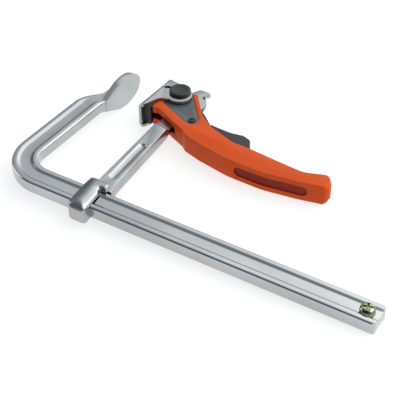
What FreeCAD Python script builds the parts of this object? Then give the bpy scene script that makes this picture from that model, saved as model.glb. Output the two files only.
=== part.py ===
import FreeCAD, Part
import math
import os
from FreeCAD import Vector

# Quick release bar clamp, lying flat. Millimetres.
# The origin is the centre of the fixed jaw's oval pad, on its pressure face.
# +X runs along the bar towards its free end, +Y from the bar towards the jaws, +Z up.

# Bar
BAR_WIDTH = 19.5
BAR_THICK = 9.5
BAR_EDGE_ROUND = 1.6
BAR_END_ROUND = 3.0
GROOVE_TOP_WIDTH = 11.6
GROOVE_FLOOR_WIDTH = 7.6
GROOVE_DEPTH = 1.1
PAD_TO_BAR = 127.0
BAR_END_X = 279.0
FIXED_ARM_X = -12.2
BEND_RADIUS = 27.5
FIXED_ARM_TOP_Y = -36.0

# Fixed jaw's pad
PAD_LENGTH = 39.8
PAD_HEIGHT = 25.2
PAD_THICK = 4.8
PAD_EDGE_ROUND = 1.0
PAD_OVAL_END_DEG = 123.5

# Stop screw
SCREW_X = 270.0
SCREW_HEAD_R = 5.1
SCREW_HEAD_H = 4.0
SCREW_SHANK_R = 2.5
CROSS_WIDTH = 1.3
CROSS_LENGTH = 5.4
CROSS_DEPTH = 1.8

# Sliding arm
EYE_X = 57.0
EYE_WALL = 7.0
EYE_HALF_HEIGHT = 9.2
EYE_SLANT = -0.12
EYE_SIDE_GAP = 0.8
EYE_FACE_GAP = 0.3
LEAN_DEG = 4.5
SHANK_THICK = 9.0
TROUGH_DEPTH = 1.7
TROUGH_WIDTH = 6.8
PLATE_THICK = 4.5
RAMP_LENGTH = 5.0

# Lever pivot, seen from the pad's centre
PIVOT_X = 45.6
PIVOT_Y = 8.5
PIN_R = 3.0
BORE_GAP = 0.05
BOSS_R = 6.3

# Toothed quadrant on the arm's end
TOOTH_TIP_R = 20.2
TOOTH_DEPTH = 0.7
TOOTH_PITCH_DEG = 4.0
TOOTH_FIRST_DEG = -10.0
TOOTH_COUNT = 14

# Lever
LEVER_HALF_HEIGHT = 7.8
CHEEK_GAP_HALF = 2.8
SLOT_HALF_HEIGHT = 5.5
LEVER_EDGE_ROUND = 1.2
OPEN_DEG = 45.0
SHOE_TRAVEL = 9.5
CAM_GAP = 0.2
GRIP_RECESS_DEPTH = 1.0
GRIP_RECESS_HALF_HEIGHT = 3.9

# Side plates and their rivet
SIDE_PLATE_TOP = 7.2
SIDE_PLATE_THICK = 2.5
RIVET_X = 26.0
RIVET_Y = -23.9
RIVET_SHANK_R = 2.4
RIVET_HEAD_R = 3.3
RIVET_HEAD_H = 0.8

# Shoe and the black insert inside it
SHOE_FACE_X = 27.0
SHOE_SHEET = 2.2
SHOE_HALF_HEIGHT = 10.3
SHOE_BEND_ROUND = 3.2
SHOE_NEAR_Y = -21.0
SHOE_FAR_Y = 20.5
EAR_END_X = 46.9
EAR_END_Y = 5.6
EAR_END_R = 9.9
SLOT_WIDTH = 6.2
SLOT_LEFT_X = 30.6
INSERT_FACE_FROM_PIVOT = 10.1
INSERT_NEAR_Y = -17.5
INSERT_FAR_Y = -1.8

# Washers and caps on the pivot pin
SPACER_THICK = 0.4
SPACER_R = 5.5
KEEPER_THICK = 0.8
KEEPER_R = 6.2
CAP_R = 8.3
CAP_THICK = 2.6
CAP_CHAMFER = 0.8

# Pawl, trigger and spring, seen from the lever's pivot
PAWL_PIN_X = 41.0
PAWL_PIN_Y = -27.0
PAWL_PIN_R = 2.0
PAWL_HUB_R = 5.0
PAWL_TIP_GAP = 0.2
TRIGGER_HALF_HEIGHT = 5.0
TRIGGER_PIN_R = 1.25
TRIGGER_PIN_X = 57.0
TRIGGER_PIN_Y = -25.0
SPRING_WIRE_R = 0.3
SPRING_COIL_R = 3.0
SPRING_TURNS = 3

bar_y = -PAD_TO_BAR
half_plate = PLATE_THICK / 2
half_shank = SHANK_THICK / 2
ear_inner = SHOE_HALF_HEIGHT - SHOE_SHEET
pivot = Vector(PIVOT_X, PIVOT_Y, 0)


def from_pivot(corners):
    """Corners (x, y, round) seen from the lever's pivot, moved to the part's frame."""
    return [(x + PIVOT_X, y + PIVOT_Y, r) for x, y, r in corners]


def outline(corners):
    """A closed wire in the XY plane through the corners, each rounded by its own radius."""
    edges = []
    last = None
    first = None
    count = len(corners)
    for i in range(count):
        x, y, r = corners[i]
        point = Vector(x, y, 0)
        before = (Vector(*corners[i - 1][:2], 0) - point).normalize()
        after = (Vector(*corners[(i + 1) % count][:2], 0) - point).normalize()
        start, end = point, point
        if r > 0:
            half = before.getAngle(after) / 2
            reach = r / math.tan(half)
            start = point + before * reach
            end = point + after * reach
            middle = point + (before + after).normalize() * (r / math.sin(half) - r)
        if last is not None:
            edges.append(Part.makeLine(last, start))
        else:
            first = start
        if r > 0:
            edges.append(Part.Arc(start, middle, end).toShape())
        last = end
    edges.append(Part.makeLine(last, first))
    return Part.Wire(edges)


def slab(corners, z0, z1):
    face = Part.Face(outline(corners))
    face.translate(Vector(0, 0, z0))
    return face.extrude(Vector(0, 0, z1 - z0))


def disc(x, y, r, z0, z1):
    return Part.makeCylinder(r, z1 - z0, Vector(x, y, z0))


def polar(r, degrees):
    a = math.radians(degrees)
    return r * math.cos(a), r * math.sin(a)


def prism(points, along):
    return Part.Face(Part.makePolygon(points + points[:1])).extrude(along)


def mirrored(shape):
    """The same piece on the other side of the clamp's middle plane."""
    return shape.mirror(Vector(0, 0, 0), Vector(0, 0, 1))


def stadium(x0, y0, x1, y1, r, z0, z1):
    """A slot shape from one end circle to the other."""
    start, end = Vector(x0, y0, z0), Vector(x1, y1, z0)
    side = (end - start).normalize().cross(Vector(0, 0, 1)) * r
    tip = (end - start).normalize() * r
    edges = [
        Part.makeLine(start + side, end + side),
        Part.Arc(end + side, end + tip, end - side).toShape(),
        Part.makeLine(end - side, start - side),
        Part.Arc(start - side, start - tip, start + side).toShape(),
    ]
    return Part.Face(Part.Wire(edges)).extrude(Vector(0, 0, z1 - z0))


def along_z_to_y(shape, y):
    """Turn a shape drawn in the XY plane so that its X stays and its Y points up."""
    shape.Placement = FreeCAD.Placement(Vector(0, y, 0), FreeCAD.Rotation(
        Vector(1, 0, 0), Vector(0, 0, 1), Vector(0, -1, 0)))
    return shape


def along_z_to_x(shape, x):
    """Turn a shape drawn in the XY plane so that its X points along Y and its Y up."""
    shape.Placement = FreeCAD.Placement(Vector(x, 0, 0), FreeCAD.Rotation(
        Vector(0, 1, 0), Vector(0, 0, 1), Vector(1, 0, 0)))
    return shape


def save(name, shape):
    shape.exportStep("parts/" + name + ".step")
    box = shape.BoundBox
    print(name, "valid", shape.isValid(), "solids", len(shape.Solids),
          "x %.1f..%.1f y %.1f..%.1f z %.1f..%.1f" % (
              box.XMin, box.XMax, box.YMin, box.YMax, box.ZMin, box.ZMax))


def bar_section():
    """The grooved bar's section as (across, up, round), centred on the bar."""
    w, t = BAR_WIDTH / 2, BAR_THICK / 2
    g, f, d = GROOVE_TOP_WIDTH / 2, GROOVE_FLOOR_WIDTH / 2, t - GROOVE_DEPTH
    top = [(w, t, BAR_EDGE_ROUND), (g, t, 0.9), (f, d, 2.4),
           (-f, d, 2.4), (-g, t, 0.9), (-w, t, BAR_EDGE_ROUND)]
    bottom = [(-x, -z, r) for x, z, r in top]
    return top + bottom


def make_neck():
    """The fixed arm's end, narrowing towards the back of the pad."""
    left, right = FIXED_ARM_X - BAR_WIDTH / 2, FIXED_ARM_X + BAR_WIDTH / 2
    t = BAR_THICK / 2
    plan = slab([(left, FIXED_ARM_TOP_Y, 0), (right, FIXED_ARM_TOP_Y, 0), (right, -29.7, 3),
                 (-0.1, -25.4, 1.5), (-0.8, -20.0, 3), (-0.8, 9.0, 0), (-4.0, 9.0, 0), (-9.4, 0.0, 8),
                 (-9.0, -16.6, 6), (-18.6, -27.0, 8), (left, -34.0, 4)], -t, t)
    side = along_z_to_x(Part.Face(outline([
        (FIXED_ARM_TOP_Y - 1, -t, 0), (-6.0, -t, 20), (10.0, -2.4, 0),
        (10.0, 2.4, 0), (-6.0, t, 20), (FIXED_ARM_TOP_Y - 1, t, 0)])), -40)
    neck = plan.common(side.extrude(Vector(50, 0, 0)))
    fading = fading_groove()
    return neck.cut([fading, mirrored(fading)])


def fading_groove():
    """The bar's groove runs out upwards as the neck narrows."""
    top, floor, depth = GROOVE_TOP_WIDTH / 2, GROOVE_FLOOR_WIDTH / 2, GROOVE_DEPTH
    t = BAR_THICK / 2
    corners = [(-floor, t - depth), (floor, t - depth), (top, t), (top, t + 3), (-top, t + 3), (-top, t)]
    start = [Vector(FIXED_ARM_X + x, FIXED_ARM_TOP_Y, z) for x, z in corners]
    return prism(start, Vector(1.3, 8.0, depth))


def make_pad():
    """The oval pad, whose lower end runs into the arm in two straight flanks."""
    a, b = PAD_LENGTH / 2, PAD_HEIGHT / 2
    turn = math.radians(PAD_OVAL_END_DEG)
    end = Vector(a * math.cos(turn), b * math.sin(turn), 0)
    oval = Part.Ellipse(Vector(0, 0, 0), a, b)
    foot = [end, Vector(-24.7, 4.82, 0), Vector(-26.2, 4.7, 0),
            Vector(-26.2, -4.7, 0), Vector(-24.7, -4.82, 0), Vector(end.x, -end.y, 0)]
    edges = [Part.ArcOfEllipse(oval, -turn, turn).toShape()]
    edges += [Part.makeLine(foot[i], foot[i + 1]) for i in range(5)]
    pad = Part.Face(Part.Wire(edges)).extrude(Vector(0, 0, PAD_THICK))
    rims = [e for e in pad.Edges if e.BoundBox.ZLength < 0.01 and e.BoundBox.XMax > -24]
    pad = pad.makeFillet(PAD_EDGE_ROUND, rims)
    return along_z_to_x(pad, -PAD_THICK)


def make_rail_bar():
    """The bar, its bent corner, the fixed arm and the oval pad, forged in one."""
    corner_x = FIXED_ARM_X + BEND_RADIUS
    corner_y = bar_y + BEND_RADIUS
    half = BAR_WIDTH / 2
    section = along_z_to_x(Part.Face(outline(bar_section())), corner_x)
    section.translate(Vector(0, bar_y, 0))
    leg = section.extrude(Vector(BAR_END_X - corner_x, 0, 0))
    ends = slab([(corner_x, bar_y - half, 0), (corner_x, bar_y + half, 0),
                 (BAR_END_X, bar_y + half, BAR_END_ROUND),
                 (BAR_END_X, bar_y - half, BAR_END_ROUND)], -BAR_THICK, BAR_THICK)
    bend = section.revolve(Vector(corner_x, corner_y, 0), Vector(0, 0, 1), -90)
    arm_section = section.copy()
    arm_section.rotate(Vector(corner_x, corner_y, 0), Vector(0, 0, 1), -90)
    arm = arm_section.extrude(Vector(0, FIXED_ARM_TOP_Y - corner_y, 0))

    bar = leg.common(ends).fuse([bend, arm, make_neck(), make_pad()])
    seat = disc(SCREW_X, bar_y, SCREW_HEAD_R, BAR_THICK / 2 - GROOVE_DEPTH, BAR_THICK)
    return bar.cut([seat, disc(SCREW_X, bar_y, SCREW_SHANK_R, -BAR_THICK, BAR_THICK)])


def make_stop_screw():
    seat = BAR_THICK / 2 - GROOVE_DEPTH
    shank = disc(SCREW_X, bar_y, SCREW_SHANK_R, -BAR_THICK / 2, seat)
    head = disc(SCREW_X, bar_y, SCREW_HEAD_R, seat, seat + SCREW_HEAD_H)
    rim = [e for e in head.Edges if e.Closed and e.BoundBox.ZMin > seat + SCREW_HEAD_H / 2]
    head = head.makeFillet(SCREW_HEAD_H * 0.6, rim)
    floor = seat + SCREW_HEAD_H - CROSS_DEPTH
    a, b = CROSS_LENGTH / 2, CROSS_WIDTH / 2
    for angle in (20, 110):
        arm = Part.makeBox(2 * a, 2 * b, SCREW_HEAD_H, Vector(SCREW_X - a, bar_y - b, floor))
        arm.rotate(Vector(SCREW_X, bar_y, 0), Vector(0, 0, 1), angle)
        head = head.cut(arm)
    return head.fuse(shank)


def make_eye():
    """The forged loop round the bar: a domed strap above and below, joined near and far."""
    hole_half = BAR_WIDTH / 2 + EYE_SIDE_GAP
    near, far = bar_y - hole_half - EYE_WALL, bar_y + hole_half + EYE_WALL
    h = EYE_HALF_HEIGHT
    face = Part.Face(outline([(near, -h, 6), (far, -h, 5), (far, h, 5), (near, h, 6)]))
    block = along_z_to_x(face, 40).extrude(Vector(40, 0, 0))
    dome = [(49.2, 0, 0), (49.8, 6.0, 4), (58.2, h, 3), (62.8, h, 1.5), (66.6, 6.0, 2.5), (67.0, 0, 0)]
    dome += [(x, -z, r) for x, z, r in reversed(dome[1:-1])]
    strap = along_z_to_y(Part.Face(outline(dome)), near)
    strap = strap.extrude(Vector(EYE_SLANT * (far - near), far - near, 0))
    plan = slab([(53.0, -146, 5), (65.2, -146, 5), (66.8, -138, 12), (64.8, -124, 12), (61.2, -118, 3),
                 (61.2, -108, 0), (48.4, -108, 3), (48.0, -119, 12), (49.8, -134, 14)], -h, h)
    collar = slab([(54.0, -118.5, 0), (66.8, -118.5, 0), (66.6, -112.5, 2), (61.0, -108.5, 3),
                   (54.0, -108.5, 0)], -h, h)
    return block.common(strap).common(plan).fuse(block.common(collar))


def make_eye_hole():
    hole_half = BAR_WIDTH / 2 + EYE_SIDE_GAP
    high = BAR_THICK / 2 + EYE_FACE_GAP
    return Part.makeBox(60, 2 * hole_half, 2 * high,
                        Vector(EYE_X - 30, bar_y - hole_half, -high))


def lean(shape):
    leaned = shape.copy()
    leaned.rotate(Vector(EYE_X, bar_y, 0), Vector(0, 0, 1), LEAN_DEG)
    return leaned


def ramp_cut(start, along, towards_head):
    """What comes off above the thin plate, from the shank's step to past the head."""
    a = start - along * 15
    points = [
        a + Vector(0, 0, half_shank),
        a + towards_head * RAMP_LENGTH + Vector(0, 0, half_plate),
        a + towards_head * 80 + Vector(0, 0, half_plate),
        a + towards_head * 80 + Vector(0, 0, SHANK_THICK),
        a + Vector(0, 0, SHANK_THICK)]
    return prism(points, along * 70)


def make_trough():
    """A rod with round ends that leaves a long scooped recess in the shank's face."""
    r = TROUGH_WIDTH ** 2 / (8 * TROUGH_DEPTH) + TROUGH_DEPTH / 2
    z = half_shank + r - TROUGH_DEPTH
    start, end = Vector(59.2, -100.0, z), Vector(56.2, -59.0, z)
    rod = Part.makeCylinder(r, (end - start).Length, start, end - start)
    return rod.fuse([Part.makeSphere(r, start), Part.makeSphere(r, end)])


def make_sliding_arm():
    """Eye, shank, thin end plate, toothed quadrant and stop hook."""
    shank = slab([(56.0, -117.5, 0), (52.9, -111.0, 3), (47.4, -27.0, 0), (46.8, 4.0, 0),
                  (52.0, 4.0, 0), (60.8, -5.0, 3), (59.2, -30.0, 0), (66.2, -104.5, 12),
                  (69.6, -117.5, 0)], -half_shank, half_shank)
    long_edges = [e for e in shank.Edges
                  if e.BoundBox.ZLength < 0.01 and e.BoundBox.YLength > 20]
    shank = shank.makeFillet(0.6, long_edges)
    trough = make_trough()
    shank = shank.cut([trough, mirrored(trough)])
    along = Vector(0.973, -0.230, 0)
    towards_head = Vector(0.230, 0.973, 0)
    top_cut = ramp_cut(Vector(48.0, -31.5, 0), along, towards_head)
    shank = shank.cut([top_cut, mirrored(top_cut)])

    quadrant = disc(0, 0, TOOTH_TIP_R, -half_plate, half_plate)
    wedge = slab([(0, 0, 0), (*polar(40, -48), 0), (40, 0, 0), (*polar(40, 46.5), 0)],
                 -half_plate, half_plate)
    quadrant = quadrant.common(wedge)
    hook = slab([(0, 4, 0), (-1.5, 9.0, 3), (1.2, 15.6, 2), (4.2, 22.4, 2.5), (11.6, 22.5, 2),
                 (14.8, 20.7, 0.8), (11.0, 16.6, 1), (12.2, 12.8, 0), (8, 4, 0)],
                -half_plate, half_plate)
    boss = disc(0, 0, BOSS_R, -half_plate, half_plate)
    head = quadrant.fuse([hook, boss])
    for i in range(TOOTH_COUNT):
        low = TOOTH_FIRST_DEG + i * TOOTH_PITCH_DEG
        high = low + TOOTH_PITCH_DEG
        outside = TOOTH_TIP_R + 0.3
        root = TOOTH_TIP_R - TOOTH_DEPTH
        tooth_gap = slab([(*polar(TOOTH_TIP_R, low), 0), (*polar(root, high - 0.7), 0),
                          (*polar(TOOTH_TIP_R, high - 0.5), 0), (*polar(outside, high - 0.5), 0),
                          (*polar(outside + 0.3, low + 1.5), 0)], -half_plate, half_plate)
        head = head.cut(tooth_gap)
    head.translate(pivot)
    arm = shank.fuse([head, make_eye()])
    arm = arm.cut([lean(make_eye_hole()), disc(PIVOT_X, PIVOT_Y, PIN_R + BORE_GAP, -10, 10)])
    return arm.removeSplitter()


def cam_points():
    """The nose's working edge, from the open end to the closed end, seen from the pivot.

    The flat insert then moves by the same amount for each degree that the lever turns.
    """
    per_radian = SHOE_TRAVEL / math.radians(OPEN_DEG)
    reach = INSERT_FACE_FROM_PIVOT - CAM_GAP
    points = []
    steps = 6
    for i in range(steps + 1):
        turn = math.radians(OPEN_DEG) * (1 - i / steps)
        x, y = -(reach - per_radian * turn), -per_radian
        points.append((x * math.cos(turn) + y * math.sin(turn),
                       -x * math.sin(turn) + y * math.cos(turn), 0))
    return points


def lever_corners():
    """The lever's outline from above, from the nose along the near side and back."""
    near_side = [(-9.6, -25.2, 1.0), (-5.0, -23.8, 3), (-1.2, -25.0, 3), (12.6, -32.0, 10),
                 (27.2, -38.4, 4), (30.4, -41.8, 4), (46.0, -46.4, 30), (74.0, -51.8, 80),
                 (103.0, -52.4, 60), (130.0, -48.2, 30)]
    end = [(149.3, -43.6, 4.5), (150.4, -38.0, 4.5), (143.4, -30.6, 4)]
    far_side = [(127.0, -37.0, 20), (100.0, -34.5, 40), (78.0, -32.2, 40), (66.0, -32.3, 20),
                (40.0, -22.4, 20), (30.0, -15.0, 10), (10.9, 7.5, 0.8)]
    boss = [(8.2, BOSS_R, 0.8), (-BOSS_R, BOSS_R, BOSS_R - 0.05), (-BOSS_R, -3.0, 2), (-7.2, -6.6, 0)]
    return near_side + end + far_side + boss + cam_points()


def make_side_plate():
    """A steel plate that carries the lever from the pin to the rivet."""
    top = SIDE_PLATE_TOP
    return slab(from_pivot(side_plate_corners(0)), top - SIDE_PLATE_THICK, top)


def side_plate_corners(grow):
    """The plate's outline, or the pocket's when it is grown a little."""
    g = grow
    return [(-6.2 - g, -15.2 - g, 2), (27.2 - g / 2, -30.9 - g, 5.4 + g), (32.7 + g, -23.9, 5.4 + g),
            (7.9 + g, 6.0 + g, 1.2), (-5.0 - g, 5.4 + g, 4.5)]


def make_lever_handle():
    """Two cheeks with the cam nose, joined to a grip that is slotted for the pawl."""
    body = slab(from_pivot(lever_corners()), -LEVER_HALF_HEIGHT, LEVER_HALF_HEIGHT)
    rims = [e for e in body.Edges
            if e.BoundBox.ZLength < 0.01 and e.BoundBox.Center.x > PIVOT_X + 12]
    body = body.makeFillet(LEVER_EDGE_ROUND, rims)

    arm_gap = slab(from_pivot([(-40, -75, 0), (16.6, -75, 0), (16.6, -31, 3), (22.6, -16.0, 3),
                               (35.0, -33.0, 4), (52, -34, 0), (52, 40, 0), (-40, 40, 0)]),
                   -CHEEK_GAP_HALF, CHEEK_GAP_HALF)
    trigger_slot = slab(from_pivot([(35.5, 0, 0), (35.5, -32.5, 3), (46, -36.5, 6),
                                    (70, -41.5, 5), (83, -38.5, 3), (83, 0, 0)]),
                        -SLOT_HALF_HEIGHT, SLOT_HALF_HEIGHT)
    pocket_floor = SIDE_PLATE_TOP - SIDE_PLATE_THICK
    pocket = slab(from_pivot(side_plate_corners(0.15)), pocket_floor, LEVER_HALF_HEIGHT + 1)
    depth = GRIP_RECESS_DEPTH
    grip_band = slab(from_pivot([(70, -51.0 + depth, 0), (74, -51.8 + depth, 80),
                                 (103, -52.4 + depth, 60), (130, -48.2 + depth, 30),
                                 (145, -44.6 + depth, 0), (145, -60, 0), (70, -60, 0)]),
                     -GRIP_RECESS_HALF_HEIGHT, GRIP_RECESS_HALF_HEIGHT)
    grip_window = along_z_to_y(stadium(83, 0, 132, 0, GRIP_RECESS_HALF_HEIGHT, 0, 40), -30)
    grip_window.translate(pivot)
    holes = [
        disc(PIVOT_X, PIVOT_Y, PIN_R + BORE_GAP, -10, 10),
        disc(PIVOT_X + RIVET_X, PIVOT_Y + RIVET_Y, RIVET_SHANK_R, -10, 10),
        disc(PIVOT_X + PAWL_PIN_X, PIVOT_Y + PAWL_PIN_Y, PAWL_PIN_R, -6.6, 6.6)]
    return body.cut([arm_gap, trigger_slot, pocket, mirrored(pocket),
                     grip_band.common(grip_window)] + holes)


def make_pivot_pin():
    end = SHOE_HALF_HEIGHT + KEEPER_THICK + 0.1
    return disc(PIVOT_X, PIVOT_Y, PIN_R, -end, end)


def make_ring(x, y, outer, inner, z0, z1):
    return disc(x, y, outer, z0, z1).cut(disc(x, y, inner, z0 - 1, z1 + 1))


def make_spacer_washer():
    z0 = half_plate + 0.05
    return make_ring(PIVOT_X, PIVOT_Y, SPACER_R, PIN_R + BORE_GAP, z0, z0 + SPACER_THICK)


def make_keeper_washer():
    z0 = SHOE_HALF_HEIGHT + 0.1
    return make_ring(PIVOT_X, PIVOT_Y, KEEPER_R, PIN_R, z0, z0 + KEEPER_THICK)


def make_pivot_cap():
    """A black cap over the washer and the pin's end."""
    z0 = SHOE_HALF_HEIGHT + 0.1
    cap = disc(PIVOT_X, PIVOT_Y, CAP_R, z0, z0 + CAP_THICK)
    cap = cap.makeChamfer(CAP_CHAMFER, [e for e in cap.Edges
                                        if e.Closed and e.BoundBox.ZMin > z0 + 1])
    return cap.cut(disc(PIVOT_X, PIVOT_Y, KEEPER_R, z0 - 1, z0 + KEEPER_THICK))


def make_plate_rivet():
    x, y = PIVOT_X + RIVET_X, PIVOT_Y + RIVET_Y
    top = SIDE_PLATE_TOP
    head = disc(x, y, RIVET_HEAD_R, top, top + RIVET_HEAD_H)
    head = head.makeFillet(RIVET_HEAD_H * 0.6, [e for e in head.Edges
                                                if e.Closed and e.BoundBox.ZMin > top + 0.1])
    return disc(x, y, RIVET_SHANK_R, -top, top).fuse([head, mirrored(head)])


def make_shoe():
    """A bent steel U with a slotted ear above and below the arm's end."""
    inner_x = SHOE_FACE_X + SHOE_SHEET
    h = SHOE_HALF_HEIGHT
    tail_x = PIVOT_X + 20
    profile = [(SHOE_FACE_X, -h, SHOE_BEND_ROUND), (tail_x, -h, 0),
               (tail_x, -ear_inner, 0), (inner_x, -ear_inner, SHOE_BEND_ROUND - SHOE_SHEET),
               (inner_x, ear_inner, SHOE_BEND_ROUND - SHOE_SHEET), (tail_x, ear_inner, 0),
               (tail_x, h, 0), (SHOE_FACE_X, h, SHOE_BEND_ROUND)]
    channel = along_z_to_y(Part.Face(outline(profile)), SHOE_FAR_Y)
    channel = channel.extrude(Vector(0, SHOE_NEAR_Y - SHOE_FAR_Y, 0))
    plan = slab([(SHOE_FACE_X, SHOE_NEAR_Y, 0), (30.8, SHOE_NEAR_Y, 1.5), (36.0, -6.0, 6),
                 (EAR_END_X - 3.4, EAR_END_Y - 9.3, 2), (EAR_END_X, EAR_END_Y, 0),
                 (PIVOT_X + 4.0, PIVOT_Y + 8.0, 2), (SHOE_FACE_X, SHOE_FAR_Y, 0)], -h, h)
    plan = plan.fuse(disc(EAR_END_X, EAR_END_Y, EAR_END_R, -h, h))
    shoe = channel.common(plan)
    slot_r = SLOT_WIDTH / 2
    slot = stadium(SLOT_LEFT_X + slot_r, PIVOT_Y, PIVOT_X + 0.1, PIVOT_Y, slot_r, -h - 1, h + 1)
    return shoe.cut(slot)


def make_pressure_insert():
    x0 = SHOE_FACE_X + SHOE_SHEET
    x1 = PIVOT_X - INSERT_FACE_FROM_PIVOT
    h = ear_inner
    r = SHOE_BEND_ROUND - SHOE_SHEET
    block = outline([(x0, -h, r), (x1, -h, 0.3), (x1, h, 0.3), (x0, h, r)])
    face = along_z_to_y(Part.Face(block), INSERT_FAR_Y)
    return face.extrude(Vector(0, INSERT_NEAR_Y - INSERT_FAR_Y, 0))


def make_pawl():
    """Toothed tip at the quadrant, hub on the pawl pin and a tail inside the trigger."""
    tip = TOOTH_TIP_R + PAWL_TIP_GAP
    arm = slab([(*polar(tip, -2.5), 0), (23.4, -4.2, 0.6), (27.4, -7.2, 3), (45.8, -25.2, 3),
                (41, -27, 0), (37.2, -30.2, 0), (24.2, -13.6, 5), (*polar(tip, -11), 0),
                (*polar(tip + 0.15, -7), 0)], -half_plate, half_plate)
    tail = slab([(PAWL_PIN_X, -22.8, 0), (61.0, -22.8, 1.5), (61.0, -27.4, 1.5),
                 (PAWL_PIN_X, -31.6, 0)], -half_plate, half_plate)
    hub = disc(PAWL_PIN_X, PAWL_PIN_Y, PAWL_HUB_R, -half_plate, half_plate)
    pawl = arm.fuse([tail, hub])
    pawl = pawl.cut([disc(PAWL_PIN_X, PAWL_PIN_Y, PAWL_PIN_R + BORE_GAP, -5, 5),
                     disc(TRIGGER_PIN_X, TRIGGER_PIN_Y, TRIGGER_PIN_R, -5, 5)])
    pawl.translate(pivot)
    return pawl.removeSplitter()


def make_trigger():
    """The black release trigger, a shell over the pawl's tail."""
    h = TRIGGER_HALF_HEIGHT
    body = slab([(39.4, -19.6, 1), (38.0, -17.0, 1), (43.0, -18.0, 3), (57.0, -18.8, 20),
                 (67.0, -17.0, 5), (76.0, -20.2, 4.5), (75.8, -30.0, 3.5), (69.0, -34.6, 4),
                 (48.0, -27.6, 3), (46.6, -23.0, 1)], -h, h)
    body = body.makeFillet(1.0, [e for e in body.Edges if e.BoundBox.ZLength < 0.01])
    pawl_space = slab([(30, -12.4, 0), (46, -22.2, 0), (62.0, -22.2, 0), (62.0, -28.0, 0),
                       (44, -33.5, 0), (30, -33.5, 0)], -half_plate - 0.05, half_plate + 0.05)
    body = body.cut([pawl_space, disc(TRIGGER_PIN_X, TRIGGER_PIN_Y, TRIGGER_PIN_R, -6, 6)])
    body.translate(pivot)
    return body


def make_pawl_pin():
    return disc(PIVOT_X + PAWL_PIN_X, PIVOT_Y + PAWL_PIN_Y, PAWL_PIN_R, -6.6, 6.6)


def make_trigger_pin():
    return disc(PIVOT_X + TRIGGER_PIN_X, PIVOT_Y + TRIGGER_PIN_Y, TRIGGER_PIN_R, -4.9, 4.9)


def make_pawl_spring():
    """A torsion spring on the pawl pin, above the pawl, with a leg to each side."""
    pitch = 2.1 * SPRING_WIRE_R
    z = half_plate + 0.1 + SPRING_WIRE_R
    edges = []
    for half_turn in range(2 * SPRING_TURNS + 1):
        side = 1 if half_turn % 2 == 0 else -1
        step = pitch / 2
        z0 = z + half_turn * step
        edges.append(Part.Arc(Vector(side * SPRING_COIL_R, 0, z0),
                              Vector(0, side * SPRING_COIL_R, z0 + step / 2),
                              Vector(-side * SPRING_COIL_R, 0, z0 + step)).toShape())
    start = edges[0].Vertexes[0].Point
    end = edges[-1].Vertexes[-1].Point
    edges.insert(0, Part.makeLine(start + Vector(0, -3.4, 0), start))
    edges.append(Part.makeLine(end, end + Vector(0, -3.4, 0)))
    path = Part.Wire(edges)
    circle = Part.makeCircle(SPRING_WIRE_R, path.Edges[0].Vertexes[0].Point, Vector(0, 1, 0))
    spring = path.makePipeShell([Part.Wire(circle)], True, False)
    spring.translate(Vector(PIVOT_X + PAWL_PIN_X, PIVOT_Y + PAWL_PIN_Y, 0))
    return spring


def main():
    os.makedirs("parts", exist_ok=True)
    save("rail_bar", make_rail_bar())
    save("stop_screw", make_stop_screw())
    save("sliding_arm", make_sliding_arm())
    save("lever_handle", make_lever_handle())
    save("plate_rivet", make_plate_rivet())
    save("pivot_pin", make_pivot_pin())
    save("shoe", make_shoe())
    save("pressure_insert", make_pressure_insert())
    save("pawl", make_pawl())
    save("pawl_pin", make_pawl_pin())
    save("pawl_spring", make_pawl_spring())
    save("trigger", make_trigger())
    save("trigger_pin", make_trigger_pin())
    pairs = {
        "side_plate": make_side_plate(),
        "spacer_washer": make_spacer_washer(),
        "keeper_washer": make_keeper_washer(),
        "pivot_cap": make_pivot_cap(),
    }
    for name, shape in pairs.items():
        if name == "side_plate":
            bores = [disc(PIVOT_X, PIVOT_Y, PIN_R + BORE_GAP, -10, 10),
                     disc(PIVOT_X + RIVET_X, PIVOT_Y + RIVET_Y, RIVET_SHANK_R, -10, 10)]
            shape = shape.cut(bores)
        save(name + "_upper", shape)
        save(name + "_lower", mirrored(shape))


main()
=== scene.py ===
import math

import bmesh
import bpy
from bpy.props import FloatProperty, FloatVectorProperty, IntProperty, PointerProperty
from mathutils import Matrix, Vector


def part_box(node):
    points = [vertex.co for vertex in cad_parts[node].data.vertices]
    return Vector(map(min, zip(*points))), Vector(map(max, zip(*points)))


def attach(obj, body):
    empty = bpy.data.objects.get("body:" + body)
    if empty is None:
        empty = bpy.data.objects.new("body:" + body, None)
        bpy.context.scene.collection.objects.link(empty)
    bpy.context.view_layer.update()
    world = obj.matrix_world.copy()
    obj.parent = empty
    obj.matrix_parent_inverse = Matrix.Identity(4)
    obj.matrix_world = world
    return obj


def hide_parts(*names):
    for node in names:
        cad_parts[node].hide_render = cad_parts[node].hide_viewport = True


bl_info = {
    "name": "Quick release bar clamp",
    "version": (1, 0, 0),
    "blender": (4, 5, 0),
    "location": "View3D > Sidebar > Clamp",
    "description": "Builds the clamp's visible pieces, their finishes and the studio round its frame",
    "category": "Object",
}

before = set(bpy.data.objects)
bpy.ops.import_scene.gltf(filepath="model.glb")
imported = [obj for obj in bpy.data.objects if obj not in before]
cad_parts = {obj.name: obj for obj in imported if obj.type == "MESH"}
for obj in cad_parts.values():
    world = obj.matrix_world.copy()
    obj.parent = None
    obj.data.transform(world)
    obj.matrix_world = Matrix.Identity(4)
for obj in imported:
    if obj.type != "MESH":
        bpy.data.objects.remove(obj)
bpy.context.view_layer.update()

MM = 0.001

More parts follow.
